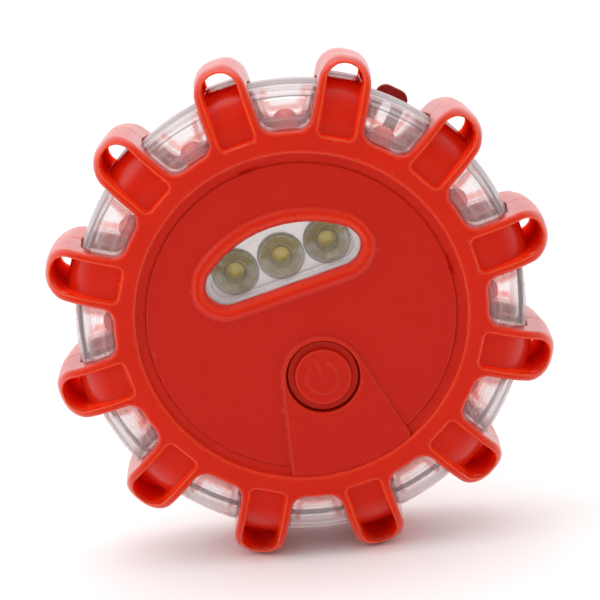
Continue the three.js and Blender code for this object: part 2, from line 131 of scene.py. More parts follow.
def block(x, y, z, x0, x1, y0, y1, z0, z1, r):
    return both(both(slab(x, x0, x1), slab(y, y0, y1), r), slab(z, z0, z1), r)


def turned(x, y, angle):
    """The same point in a frame turned by angle about the disc axis."""
    c, s = math.cos(angle), math.sin(angle)
    return x * c + y * s, y * c - x * s


def slope(distance, points, step):
    """Distance, gradient and curvature of a shape at points."""
    here = distance(*points)
    gradient = np.empty_like(points)
    total = -6 * here
    for axis in range(3):
        side = []
        for sign in (-1, 1):
            moved = points.copy()
            moved[axis] += sign * step
            side.append(distance(*moved))
        gradient[axis] = (side[1] - side[0]) / (2 * step)
        total = total + side[0] + side[1]
    return here, gradient, total / step ** 2


def surface(name, distance, low, high, cell, flatness=0.0):
    """Mesh of a distance field inside the box low..high, which the shape doesn't touch."""
    axes = [np.arange(a - cell, b + 2 * cell, cell) for a, b in zip(low, high)]
    field = distance(*np.meshgrid(*axes, indexing="ij", sparse=True))
    grid = openvdb.FloatGrid(3 * cell)
    grid.copyFromArray(np.clip(field / cell, -3, 3).astype(np.float32))
    points, triangles, quads = grid.convertToPolygons(isovalue=0.0, adaptivity=flatness)
    points = (np.asarray(points, float) * cell + np.array([a[0] for a in axes])).T.copy()
    for _ in range(3):
        here, gradient, _curve = slope(distance, points, 0.02)
        length = np.maximum(np.linalg.norm(gradient, axis=0), 0.3)
        points -= np.clip(here, -cell / 2, cell / 2) * gradient / length ** 2
    _here, gradient, _curve = slope(distance, points, 0.03)
    normals = gradient / np.maximum(np.linalg.norm(gradient, axis=0), 1e-9)
    _here, _gradient, curve = slope(distance, points, 0.35)
    return build(name, points.T, triangles, quads, normals.T, curve)


def build(name, points, triangles, quads, normals, curve):
    """Object from a field's mesh, carried into the row frame."""
    sizes = np.concatenate([np.full(len(triangles), 3), np.full(len(quads), 4)])
    corners = np.concatenate([np.asarray(triangles).ravel(), np.asarray(quads).ravel()])
    mesh = bpy.data.meshes.new(name)
    mesh.vertices.add(len(points))
    mesh.vertices.foreach_set("co", points.astype(np.float32).ravel())
    mesh.loops.add(len(corners))
    mesh.loops.foreach_set("vertex_index", corners.astype(np.int32))
    mesh.polygons.add(len(sizes))
    mesh.polygons.foreach_set("loop_start", (np.cumsum(sizes) - sizes).astype(np.int32))
    mesh.update(calc_edges=True)
    mesh.transform(DISC)
    if curve is not None:
        edge = mesh.attributes.new("edge", "FLOAT", "POINT")
        edge.data.foreach_set("value", np.clip(curve, -4, 4).astype(np.float32))
    rotation = np.array(DISC.to_3x3().normalized())
    if normals is not None:
        mesh.normals_split_custom_set_from_vertices((normals @ rotation.T).tolist())
    piece = bpy.data.objects.new(name, mesh)
    bpy.context.scene.collection.objects.link(piece)
    return piece


# ---------------------------------------------------------------- plan shapes


def lobe_frame(x, y):
    """Radius, and the place along and across the nearest lobe."""
    angle = np.arctan2(x, y)
    angle = angle - LOBE_STEP * np.round(angle / LOBE_STEP)
    radius = np.hypot(x, y)
    return radius, radius * np.cos(angle), np.abs(radius * np.sin(angle))


def star(radius, along, across, tip_round=LOBE_TIP_ROUND):
    """Plan of the twelve-lobed bumper."""
    lobe = both(across - LOBE_HALF_WIDTH, along - LOBE_RADIUS, tip_round)
    return either(lobe, radius - NOTCH_RADIUS, LOBE_ROOT_ROUND)


def pocket_plan(along, across):
    """Plan of a lobe's pocket, round at the tip."""
    sides = both(across - POCKET_HALF_WIDTH, along - POCKET_OUTER, POCKET_END_ROUND)
    return both(sides, POCKET_INNER - along, 1.2)


def window(x, y, grow):
    """Orange-slice window: straight below, arched above, with round ends."""
    arch = np.hypot(x, y - WINDOW_ARC_Y) - WINDOW_ARC - grow
    ends = np.abs(x) - WINDOW_HALF - grow
    return both(both(arch, ends, 1.6 + grow / 2), WINDOW_BOTTOM - grow - y, 4.4 + grow)


def button_pad(x, y):
    """Round top about the button, widening down to the ring."""
    px, py = np.abs(x), y - BUTTON_Y
    lean = math.radians(13.5)
    down = px * math.sin(lean) - py * math.cos(lean)
    side = px * math.cos(lean) + py * math.sin(lean)
    return np.where(down < 0, np.hypot(px, py), side) - BUTTON_PAD


# ---------------------------------------------------------------- rubber


def rubber_half(x, y, z):
    """Ring and lobes of one half; z is the height over the seam."""
    radius, along, across = lobe_frame(x, y)
    crown = both(radius - CROWN_RADIUS, z - HALF_DEPTH, CROWN_ROUND)
    tip_round = LOBE_TIP_ROUND + 1.1 * np.clip((z - 3) / 8, 0, 1)
    body = both(both(star(radius, along, across, tip_round), crown, 0.85), 0.02 - z, 0.1)
    strap = both(radius - STRAP_RADIUS, z - STRAP_FACE, STRAP_ROUND)
    return both(body, either(-pocket_plan(along, across), strap, 0.4), 0.5)


def shell_room(radius, z):
    ring = both(radius - RING_RADIUS - GAP + DRAFT * z, z - RING_SHOULDER - GAP, 0.7)
    drum = both(radius - DRUM_RADIUS - GAP, z - DRUM_FACE - GAP, 0.5)
    return np.minimum(ring, drum)


def front_bumper(x, y, z):
    radius = np.hypot(x, y)
    body = both(rubber_half(x, y, z), GROOVE_RADIUS - radius, 0.8)
    body = either(body, both(radius - GROOVE_RADIUS - 1, z - GROOVE_FLOOR, 0.2), 0.3)
    body = either(body, both(radius - PANEL_RADIUS, z - PANEL_FACE, 0.4), 0.2)
    pad = both(both(button_pad(x, y), radius - GROOVE_RADIUS + 0.1, 0.5), z - PAD_FACE, 0.5)
    body = either(body, pad, 0.3)
    rim = both(window(x, y, 3), z - RIM_FACE, 1.1)
    body = either(body, rim, 0.35)
    body = cut(body, shell_room(radius, z), 0.3)
    opening = window(x, y, 0)
    opening = np.minimum(opening, (opening - 0.9 * (z - 13.6)) / 1.345)
    body = cut(body, opening, 0.4)
    return cut(body, np.hypot(x, y - BUTTON_Y) - BUTTON_WELL, 0.35)


def hook_channel(x, y, z, start, half_width, floor):
    along, across = turned(x, y, HOOK_ANGLE)
    return both(both(np.abs(across) - half_width, start - along, 1.0), z - floor, 0.5)


def rear_bumper(x, y, z):
    radius = np.hypot(x, y)
    body = both(rubber_half(x, y, -z), 32.4 - radius, 0.8)
    body = either(body, both(radius - 33.4, -z - 14.8, 0.3), 0.3)
    body = cut(body, shell_room(radius, -z), 0.3)
    body = cut(body, radius - DOOR_RADIUS - 0.4, 0.35)
    return cut(body, hook_channel(x, y, z, 12, 4.5, -13.1), 0.5)


# ---------------------------------------------------------------- clear housing


def shell_outside(x, y, z, boss_face):
    """Ring, drum and notch bosses, inside a drafted wall with a round rim."""
    radius, along, across = lobe_frame(x, y)
    drum = both(radius - DRUM_RADIUS, z - DRUM_FACE, 0.5)
    boss = both(GAP - star(radius, along, across), 6 - z, 0.2)
    body = either(either(z - RING_SHOULDER, drum, 0.4), boss, 0.5)
    return both(body, both(radius - RING_RADIUS + DRAFT * z, z - boss_face, RIM_ROUND), 0.5)


def hollow(outside, z):
    return both(np.maximum(outside, -(outside + WALL)), 0.3 - z, 0.15)


def front_shell(x, y, z):
    pane = both(window(x, y, -GAP), z - 13.3, 0.3)
    outside = either(shell_outside(x, y, z, BOSS_FACE_FRONT), pane, 0.3)
    return cut(hollow(outside, z), np.hypot(x, y - BUTTON_Y) - BUTTON_WELL - 1, 0.3)


def rear_shell(x, y, z):
    body = hollow(shell_outside(x, y, -z, BOSS_FACE_REAR), -z)
    posts = [post(x, y, z, at, 3, -11, BOARD_REAR - GAP, 0.3) for at in CASE_SCREWS]
    posts.append(post(x, y, z, (0, DOOR_SCREW_Y), 3, -11, -3, 0.3))
    for one in posts:
        body = either(body, one, 0.3)
    for at in CASE_SCREWS:
        body = cut(body, np.hypot(x - at[0], y - at[1]) - np.where(z < -10.2, 2.5, 1.5), 0.2)
    body = cut(body, both(np.hypot(x, y - DOOR_SCREW_Y) - 1.5, z + 4, 0.2), 0.2)
    return cut(body, block(x, y, z, -26.7, 26.7, -17.7, 17.7, -20, 5, 0.5), 0.3)


# ---------------------------------------------------------------- switch and lamps


def power_mark(x, y):
    """Open ring with an upright bar, the usual power symbol."""
    px, py = x, y - BUTTON_Y
    angle = np.abs(np.arctan2(px, py))
    opening = math.radians(38)
    end_x, end_y = MARK_RADIUS * math.sin(opening), MARK_RADIUS * math.cos(opening)
    ends = np.hypot(np.abs(px) - end_x, py - end_y)
    ring = np.where(angle > opening, np.abs(np.hypot(px, py) - MARK_RADIUS), ends)
    bar = np.hypot(px, py - np.clip(py, 1.0, 4.2))
    return np.minimum(ring, bar) - MARK_STROKE


def power_button(x, y, z):
    radius = np.hypot(x, y - BUTTON_Y)
    dish = 14.75 + 0.2 * np.minimum(radius / 5.5, 1) ** 2
    cap = both(radius - BUTTON_CAP, z - dish, 0.55)
    web = both(radius - 7.1, z - 13.45, 0.25)
    flange = both(radius - BUTTON_FLANGE, slab(z, 11.1, 12.1), 0.2)
    stem = both(radius - 1.7, z - 12, 0.2)
    body = both(either(cap, web, 0.5), 11.1 - z, 0.2)
    body = either(either(body, flange, 0.2), both(stem, 9 - z, 0.2), 0.3)
    mark = both(power_mark(x, y), slab(z, 14, 14.95), 0.12)
    return either(body, mark, 0.15)


def spot_lens(x, y, z):
    """Collimator: a bowl of clear plastic with a well over the lamp and a ridge on its face."""
    radius = np.hypot(x, y)
    bowl = radius - np.sqrt(4 * LENS_FOCUS * np.clip(z - 4.9 + LENS_FOCUS, 0.1, 9))
    body = both(bowl * 0.85, slab(z, 5.4, LENS_FRONT), 0.08)
    flange = both(radius - LENS_RADIUS, slab(z, 8.1, LENS_FRONT), 0.12)
    body = either(body, flange, 0.08)
    ridge = np.hypot(radius - LENS_RIDGE, z - LENS_FRONT) - 0.24
    body = either(body, ridge, 0.08)
    well = both(radius - 1.95, 7.4 - 0.2 * radius ** 2 - z, 0.12)
    return cut(body, well, 0.1)


def bowl_mask(x, y, z):
    """Side of the bowl, which carries a painted reflection of the phosphor, strongest in its upper half."""
    side = (np.hypot(x, y) > 2.05) & (z < 8.0)
    return side * np.clip(0.75 + 0.3 * y, 0.35, 1)


def white_led(x, y, z):
    """Surface-mounted emitter: a square carrier with a low round dome of phosphor."""
    carrier = block(x, y, z, -1.75, 1.75, -1.75, 1.75, BOARD_FRONT + GAP, 4.7, 0.12)
    dome = np.sqrt(x ** 2 + y ** 2 + (3 * (z - 4.7)) ** 2) - CHIP_RADIUS
    return either(carrier, both(dome * 0.5, 4.3 - z, 0.05), 0.05)


def lens_holder(x, y, z):
    """White tub: a wall round the window and a funnel under each lens."""
    body = both(window(x, y, 1.6), slab(z, BOARD_FRONT + GAP, HOLDER_FRONT), 0.3)
    body = cut(body, both(window(x, y, 0), LENS_FRONT - 0.5 - z, 0.3), 0.3)
    seat = None
    for k in (-1, 0, 1):
        radius = np.hypot(x - k * LENS_PITCH, y - LENS_Y)
        funnel = radius - 2.8 - 1.88 * np.clip((z - 5.2) / 2.3, 0, 1)
        seat = funnel if seat is None else np.minimum(seat, funnel)
    return cut(body, seat * 0.8, 0.15)


def red_led(x, y, z):
    """Round lamp lying along x from the board's edge."""
    radius = np.hypot(y, z - LED_AXIS_Z)
    barrel = both(radius - 2.5, x - LED_ROOT - 8.3, 2.4)
    collar = both(radius - 2.9, slab(x, LED_ROOT, LED_ROOT + 1), 0.15)
    return either(both(barrel, LED_ROOT - x, 0.15), collar, 0.15)


# ---------------------------------------------------------------- electronics


def circuit_board(x, y, z):
    """Round board with screw holes and rows of small chip parts."""
    radius = np.hypot(x, y)
    body = both(radius - BOARD_RADIUS, slab(z, BOARD_REAR, BOARD_FRONT), 0.15)
    for at in CASE_SCREWS:
        body = cut(body, np.hypot(x - at[0], y - at[1]) - 1.7, 0.15)
    angle = np.arctan2(x, y)
    angle = angle - LOBE_STEP * np.round(angle / LOBE_STEP)
    across, along = radius * np.sin(angle), radius * np.cos(angle)
    chips = block(across, along, z, -1, 1, *BOARD_CHIPS, 3.5, 4.35, 0.1)
    return np.minimum(body, chips)


def controller_chip(x, y, z):
    """Eight-legged chip: moulded body with bent legs along two sides."""
    px, py = x - 11.5, y - BUTTON_Y
    body = block(px, py, z, -2.5, 2.5, -1.3, 1.3, 4.3, 5.6, 0.15)
    body = cut(body, np.sqrt((px + 1.8) ** 2 + (py - 0.7) ** 2 + (z - 5.7) ** 2) - 0.35, 0.05)
    pitch = px - 1.27 * np.clip(np.round(px / 1.27 - 0.5), -2, 1) - 0.635
    foot = block(pitch, np.abs(py), z, -0.2, 0.2, 1.2, 2.0, 4.1, 4.35, 0.05)
    knee = block(pitch, np.abs(py), z, -0.2, 0.2, 1.2, 1.5, 4.1, 4.95, 0.05)
    return np.minimum(body, np.minimum(foot, knee))


def capacitor(x, y, z):
    """Aluminium can with a crimped waist on a moulded foot."""
    radius = np.hypot(x + 12, y - BUTTON_Y)
    can = both(radius - 1.95 + 0.22 * np.exp(-((z - 5.3) / 0.25) ** 2), slab(z, 4.6, 8.6), 0.25)
    foot = block(x + 12, y - BUTTON_Y, z, -1.9, 1.9, -1.9, 1.9, 4.1, 4.7, 0.2)
    vent = np.minimum(np.abs(x + 12), np.abs(y - BUTTON_Y)) - 0.1
    can = cut(can, both(vent, both(radius - 1.5, 8.45 - z, 0.05), 0.05), 0.05)
    return either(can, both(foot, radius - 2.0, 0.1), 0.1)


def switch_body(x, y, z):
    px, py = x, y - BUTTON_Y
    body = block(px, py, z, -3, 3, -3, 3, BOARD_FRONT + GAP, 7.1, 0.2)
    cover = block(px, py, z, -2.9, 2.9, -2.9, 2.9, 6.9, 7.3, 0.1)
    pegs = both(np.hypot(np.abs(px) - 2.3, np.abs(py) - 2.3) - 0.42, slab(z, 7, 7.4), 0.1)
    body = np.minimum(np.minimum(body, cover), pegs)
    return cut(body, both(np.hypot(px, py) - 1.9, 5.4 - z, 0.1), 0.1)


def switch_plunger(x, y, z):
    radius = np.hypot(x, y - BUTTON_Y)
    return both(radius - 1.6, slab(z, 6.5, 8.7), 0.35)


# ---------------------------------------------------------------- battery bay


def battery_tray(x, y, z):
    """Open box with ridges that keep the three cells apart."""
    body = block(x, y, z, -TRAY_X, TRAY_X, -TRAY_Y, TRAY_Y, TRAY_MOUTH, TRAY_FLOOR, 0.35)
    room = block(x, y, z, TRAY_WALL - TRAY_X, TRAY_X - TRAY_WALL, TRAY_WALL - TRAY_Y, TRAY_Y - TRAY_WALL,
                 -20, TRAY_FLOOR - TRAY_WALL, 0.4)
    body = cut(body, room, 0.3)
    near = np.minimum(np.abs(y), np.abs(np.abs(y) - CELL_PITCH))
    bed = CELL_RADIUS + 0.25 - np.hypot(near, z - CELL_Z)
    ridge = both(bed, both(slab(z, -3.9, 0), np.abs(y) - 14, 0.2), 0.2)
    return either(body, both(ridge, np.abs(x) - 19, 0.3), 0.3)


def cell(along, across, z):
    """AAA cell lying along its axis, with the flat end at zero."""
    radius = np.hypot(across, z - CELL_Z)
    sleeve = both(radius - CELL_RADIUS, slab(along, 0.15, 43.3), 0.5)
    dish = both(radius - 3.9, slab(along, -1, 0.32), 0.15)
    button = both(radius - 1.9, slab(along, 42, CELL_LENGTH), 0.3)
    step = both(radius - 3.7, slab(along, 42, 43.7), 0.2)
    body = either(cut(sleeve, dish, 0.15), step, 0.15)
    return either(either(body, button, 0.15), both(radius - 3.2, slab(along, 0.0, 1), 0.15), 0.1)


def contact_plate(x, y, z, side, y0, y1):
    """Nickel strip against the end wall, pressed out where a cell touches it."""
    face = TRAY_X - TRAY_WALL - GAP
    outline = both(slab(y, y0, y1), slab(z, CELL_Z - 4, CELL_Z + 4), 1.0)
    flat = both(outline, slab(side * x, face - 0.4, face), 0.12)
    near = np.minimum(np.abs(y), np.abs(np.abs(y) - CELL_PITCH))
    dimple = np.abs(np.hypot(near, z - CELL_Z) - 2.6) - 0.3
    return cut(flat, both(dimple, side * x - face + 0.25, 0.05), 0.05)


# ---------------------------------------------------------------- battery door


def battery_door(x, y, z):
    radius = np.hypot(x, y)
    along, across = turned(x, y, HOOK_ANGLE)
    body = both(radius - DOOR_RADIUS, slab(z, -HALF_DEPTH, -12.9), 0.4)
    body = cut(body, both(radius - 28.2, DOOR_INNER - z, 0.2), 0.2)
    cup = both(radius - MAGNET_RADIUS - 1.6, slab(z, -14, -11.7), 0.3)
    channel = block(along, across, z, 13, 28, -6.2, 6.2, -14, -12.4, 0.3)
    seat = post(x, y, z, (0, DOOR_SCREW_Y), 4.3, -14, -12.4, 0.3)
    ribs = np.minimum(np.minimum(cup, channel), seat)
    body = either(body, both(ribs, radius - 28.1, 0.2), 0.3)
    groove = np.minimum(np.abs(radius - DOOR_GROOVES[0]), np.abs(radius - DOOR_GROOVES[1]))
    body = cut(body, both(groove - 0.35, z + HALF_DEPTH - 0.3, 0.1), 0.1)
    body = cut(body, both(radius - MAGNET_RADIUS - GAP, z - MAGNET_SEAT, 0.2), 0.35)
    body = cut(body, hook_channel(x, y, z, 14.8, 4, -13.1), 0.35)
    thumb = np.sqrt((along - 24) ** 2 + (np.abs(across) - 4) ** 2 * 1.6 + (z + 18) ** 2) - 4.3
    body = cut(body, thumb, 0.3)
    pivot = both(np.hypot(along - HOOK_PIVOT, z - HOOK_PIVOT_Z) - 1, np.abs(across) - 5.2, 0.1)
    body = cut(body, pivot, 0.05)
    off_screw = np.hypot(x, y - DOOR_SCREW_Y)
    body = cut(body, both(off_screw - 2.9, z + 13.3, 0.1), 0.25)
    return cut(body, off_screw - 1.6, 0.1)


def hook(x, y, z):
    """Folding arm with a sideways mouth near its tip and a pin at its root."""
    along, across = turned(x, y, HOOK_ANGLE)
    sides = slab(across, -HOOK_HALF_WIDTH, HOOK_HALF_WIDTH)
    plan = both(slab(along, HOOK_ROOT, HOOK_TIP), sides, 2.2)
    square = both(slab(along, HOOK_ROOT, 30), sides, 0.3)
    plan = np.minimum(plan, square)
    mouth = both(slab(along, HOOK_THROAT, 43.4), slab(across, -0.9, 1.3), 0.9)
    throat = both(slab(along, HOOK_THROAT, 38.8), slab(across, -0.9, 9), 0.8)
    plan = cut(plan, either(mouth, throat, 0.3), 0.5)
    body = both(plan, slab(z, HOOK_PIVOT_Z - 0.8, HOOK_PIVOT_Z + 0.8), 0.35)
    recess = both(slab(along, 19, 33), slab(across, -1.9, 1.9), 1.2)
    body = cut(body, both(recess, z - HOOK_PIVOT_Z + 0.45, 0.2), 0.2)
    pin = both(np.hypot(along - HOOK_PIVOT, z - HOOK_PIVOT_Z) - 0.7, np.abs(across) - 4.9, 0.15)
    return either(body, pin, 0.1)


def magnet(x, y, z):
    radius = np.hypot(x, y)
    return both(radius - MAGNET_RADIUS, slab(z, -HALF_DEPTH, -HALF_DEPTH + MAGNET_DEPTH), 0.35)


def screw(x, y, z, head, tip, radius, depth):
    """Cross-headed screw pointing towards +z, with a rolled thread."""
    off = np.hypot(x, y)
    cap = both(off - radius, slab(z, head, head + depth), 0.35)
    turn_share = z / 0.9 - np.arctan2(y, x) / (2 * math.pi)
    wave = np.abs(turn_share - np.round(turn_share)) * 2
    thread = off - 1.2 + 0.3 * wave * np.clip((z - head - depth - 0.6) / 0.6, 0, 1)
    point = off - np.maximum((tip - z) * 1.1, 0)
    shank = both(both(thread * 0.85, point * 0.7, 0.1), head - z, 0.1)
    px, py = np.abs(x), np.abs(y)
    cross = np.minimum(both(px - 1.5, py - 0.35, 0.1), both(py - 1.5, px - 0.35, 0.1))
    sunk = both(np.maximum(cross, off + 1.3 * (z - head) - 1.75), z - head - 0.8, 0.05)
    return cut(either(cap, shank, 0.15), sunk, 0.08)


# ---------------------------------------------------------------- materials


class Nodes:
    """Small helper that adds and wires a material's nodes."""

    def __init__(self, name):
        self.material = bpy.data.materials.new(name)
        self.material.use_nodes = True
        self.tree = self.material.node_tree
        self.shader = self.tree.nodes["Principled BSDF"]

    def add(self, kind, **inputs):
        node = self.tree.nodes.new("ShaderNode" + kind)
        for key, value in inputs.items():
            self.put(node.inputs[key.replace("_", " ")], value)
        return node

    def put(self, socket, value):
        if isinstance(value, bpy.types.NodeSocket):
            self.tree.links.new(value, socket)
        else:
            socket.default_value = value

    def set(self, **inputs):
        for key, value in inputs.items():
            self.put(self.shader.inputs[key.replace("_", " ")], value)

    def math(self, operation, a, b=0.5):
        node = self.tree.nodes.new("ShaderNodeMath")
        node.operation = operation
        self.put(node.inputs[0], a)
        self.put(node.inputs[1], b)
        return node.outputs[0]

    def times(self, a, b):
        return self.math("MULTIPLY", a, b)

    def mix_shader(self, share, first, second):
        """Surface that is first where share is 0 and second where it is 1."""
        node = self.add("MixShader", Fac=share)
        self.put(node.inputs[1], first.outputs[0])
        self.put(node.inputs[2], second.outputs[0])
        return node

    def noise(self, scale, detail=3.0, rough=0.5):
        place = self.add("TexCoord").outputs["Object"]
        node = self.add("TexNoise", Vector=place, Scale=scale, Detail=detail, Roughness=rough)
        return node.outputs["Fac"]

    def ramp(self, value, low, high, out_low, out_high):
        node = self.tree.nodes.new("ShaderNodeMapRange")
        for index, item in enumerate((value, low, high, out_low, out_high)):
            self.put(node.inputs[index], item)
        return node.outputs[0]

    def blend(self, share, a, b):
        node = self.tree.nodes.new("ShaderNodeMix")
        node.data_type = "RGBA"
        for index, item in zip((0, 6, 7), (share, a, b)):
            self.put(node.inputs[index], item)
        return node.outputs[2]

    def bump(self, height, strength, distance):
        node = self.add("Bump", Height=height, Strength=strength, Distance=distance)
        return node.outputs["Normal"]

    def attribute(self, name):
        node = self.tree.nodes.new("ShaderNodeAttribute")
        node.attribute_name = name
        return node.outputs["Fac"]


def srgb(r, g, b):
    """Colour from 0..255 screen values."""
    line = [c / 255 for c in (r, g, b)]
    return tuple(c / 12.92 if c < 0.04045 else ((c + 0.055) / 1.055) ** 2.4 for c in line) + (1,)


def rubber_material(name, colour, darker, edge_highlight_colour, lit):
    """Smooth moulded rubber that lets a little light in and shines at a slant.

    The pocket walls are painted a lighter full red without shine, standing for the light that soaks through
    them; curved edges carry a painted highlight in a paler orange.
    """
    n = Nodes(name)
    mottling = n.noise(90, 4)
    grain = n.noise(2600, 2)
    tint = n.blend(n.ramp(mottling, 0.35, 0.65, 0, 0.3), colour, darker)
    panel = n.blend(n.attribute("panel"), tint, darker)
    off_panel = n.ramp(n.attribute("panel"), 0, 1, 1, 0.2)
    # Painted highlight: curved edges turn a paler orange, less so on the panel.
    painted_edge_highlight = n.times(n.ramp(n.attribute("edge"), 0.6, 2.6, 0, 0.6), off_panel)
    highlighted_colour = n.blend(painted_edge_highlight, panel, edge_highlight_colour)
    # Painted light: the pocket walls take a lighter red that stands for the light reaching into them.
    wall = n.ramp(n.attribute("pocket"), 0.5, 1, 0, 1)
    n.set(Base_Color=n.blend(wall, highlighted_colour, lit))
    n.set(Roughness=n.ramp(mottling, 0.3, 0.7, 0.24, 0.34))
    slant = n.add("LayerWeight", Blend=0.5).outputs["Facing"]
    open_air = n.ramp(n.attribute("pocket"), 0, 1, 1, 0)
    n.set(Specular_IOR_Level=n.times(n.ramp(slant, 0.1, 0.7, 0.12, 1.0), open_air))
    n.set(Coat_Weight=n.times(n.ramp(slant, 0.5, 0.85, 0, 0.35), open_air), Coat_Roughness=0.3)
    n.set(Subsurface_Weight=n.ramp(wall, 0, 1, 0.12, 0.85), Subsurface_Radius=(1.0, 0.1, 0.05))
    n.set(Subsurface_Scale=n.ramp(wall, 0, 1, 0.0012, 0.005))
    n.set(Normal=n.bump(grain, 0.06, 0.0001))
    return n.material


def clear_material(name):
    """Clear wall with a milky haze, streaked round the ring, a moulded line on the rim, and a painted red
    tint for the rubber showing through the notch boss walls.
    """
    n = Nodes(name)
    parts = n.add("SeparateXYZ", Vector=n.add("TexCoord").outputs["Object"])
    height = n.math("SUBTRACT", parts.outputs["Z"], CENTRE.z)
    flat = n.add("CombineXYZ", X=parts.outputs["X"], Y=height)
    length = n.add("VectorMath", Vector=flat.outputs[0])
    length.operation = "LENGTH"
    radius = length.outputs["Value"]
    off_line = n.math("ABSOLUTE", n.math("SUBTRACT", radius, RIM_LINE * MM))
    line = n.times(n.ramp(off_line, 0.00003, 0.00013, 1, 0), n.attribute("shoulder"))
    along = n.add("CombineXYZ", X=n.ramp(radius, 0, 0.05, 0, 0.05), Y=parts.outputs["Y"])
    bands = n.add("TexNoise", Vector=along.outputs[0], Scale=700, Detail=2).outputs["Fac"]
    window, inner = n.attribute("panel"), n.attribute("inner")
    normal = n.bump(n.noise(160, 2), 0.06, 0.0004)
    slant = n.add("LayerWeight", Blend=0.35, Normal=normal).outputs["Facing"]
    tint = n.blend(n.ramp(slant, 0.3, 1, 0, 1), (0.998, 0.99, 0.99, 1), (0.985, 0.945, 0.95, 1))
    # Painted red tint on the notch boss walls, standing for the rubber that shows through them.
    tint = n.blend(n.attribute("painted_show_through"), tint, (0.93, 0.42, 0.38, 1))
    tint = n.blend(window, tint, (1, 1, 1, 1))
    tint = n.blend(line, tint, (0.1, 0.08, 0.09, 1))
    passed = n.add("BsdfTransparent", Color=tint)
    milk = n.add("BsdfDiffuse", Color=(0.98, 0.92, 0.93, 1))
    glow = n.add("BsdfTranslucent", Color=(1, 0.94, 0.95, 1))
    haze = n.mix_shader(0.35, milk, glow)
    streaks = n.times(n.ramp(bands, 0.35, 0.65, 0.6, 1.35), n.ramp(n.attribute("boss"), 0, 1, 1, 0.85))
    outer_haze = n.ramp(inner, 0, 1, n.ramp(window, 0, 1, 1, 0), 0)
    haze_share = n.times(n.times(n.ramp(slant, 0.1, 0.9, 0.3, 0.6), streaks), outer_haze)
    body = n.mix_shader(haze_share, passed, haze)
    gloss = n.add("BsdfGlossy", Color=(1, 1, 1, 1), Roughness=0.08, Normal=normal)
    fresnel = n.add("Fresnel", IOR=1.42, Normal=normal).outputs[0]
    polish = n.ramp(inner, 0, 1, n.ramp(window, 0, 1, 1, 0.25), 1)
    skin = n.mix_shader(n.times(n.ramp(fresnel, 0, 1, 0, 0.35), polish), body, gloss)
    n.put(n.tree.nodes["Material Output"].inputs["Surface"], skin.outputs[0])
    n.tree.nodes.remove(n.shader)
    return n.material


def optic_material(name, colour, painted_reflection):
    """Clear moulded lens whose bowl carries a painted reflection of the lamp's colour below it."""
    n = Nodes(name)
    haze = n.noise(200, 2)
    # Painted reflection: the side of the bowl takes the phosphor's colour.
    share = n.times(n.attribute("bowl"), n.ramp(n.noise(1100, 3), 0.35, 0.65, 0.7, 1.1))
    n.set(Base_Color=n.blend(share, colour, painted_reflection), IOR=1.49)
    n.set(Transmission_Weight=n.ramp(share, 0, 0.9, 1, 0.1))
    n.set(Specular_IOR_Level=n.ramp(share, 0.3, 0.8, 0.5, 0))
    n.set(Roughness=n.ramp(share, 0, 0.9, n.ramp(haze, 0.3, 0.7, 0, 0.02), 0.3))
    return n.material


def lamp_material(name, colour, darker):
    """Diffused red epoxy: light goes in, scatters and comes out red."""
    n = Nodes(name)
    cloud = n.noise(400, 2)
    n.set(Base_Color=n.blend(n.ramp(cloud, 0.3, 0.7, 0, 1), colour, darker))
    n.set(Roughness=0.12, Transmission_Weight=0.1, IOR=1.5)
    n.set(Subsurface_Weight=0.5, Subsurface_Radius=(1.0, 0.2, 0.15), Subsurface_Scale=0.004)
    return n.material


def plastic_material(name, colour, darker, roughness, grain=1500, depth=0.05, shine=0.5):
    n = Nodes(name)
    n.set(Specular_IOR_Level=shine)
    cloud = n.noise(120, 3)
    n.set(Base_Color=n.blend(n.ramp(cloud, 0.35, 0.65, 0, 0.5), colour, darker))
    n.set(Roughness=n.ramp(cloud, 0.3, 0.7, roughness - 0.05, roughness + 0.07))
    n.set(Normal=n.bump(n.noise(grain, 2), depth, 0.0001))
    return n.material


def metal_material(name, colour, roughness):
    n = Nodes(name)
    cloud = n.noise(300, 4)
    n.set(Base_Color=colour, Metallic=1.0)
    n.set(Roughness=n.ramp(cloud, 0.3, 0.7, roughness, roughness + 0.14))
    n.set(Normal=n.bump(n.noise(2500, 2), 0.04, 0.0001))
    return n.material


def masked_material(name, mask, body, part, roughness, metallic=1.0):
    """Moulded body with parts of another finish where the point mask is set."""
    n = Nodes(name)
    cloud = n.noise(260, 3)
    share = n.ramp(n.attribute(mask), 0.4, 0.6, 0, 1)
    shade = n.blend(n.ramp(cloud, 0.3, 0.7, 0, 0.35), body, tuple(c * 0.8 for c in body[:3]) + (1,))
    n.set(Base_Color=n.blend(share, shade, part))
    n.set(Metallic=n.ramp(share, 0, 1, 0, metallic))
    n.set(Roughness=n.ramp(share, 0, 1, n.ramp(cloud, 0.3, 0.7, roughness, roughness + 0.1), 0.25))
    n.set(Normal=n.bump(n.noise(1800, 2), 0.04, 0.0001))
    return n.material


# The third colour is a painted highlight for curved edges; the fourth is the painted lighter red of the
# pocket walls.
RUBBER = rubber_material("rubber", srgb(206, 31, 6), srgb(190, 27, 8), srgb(246, 92, 40),
                         srgb(255, 52, 18))
CLEAR = clear_material("clear_plastic")
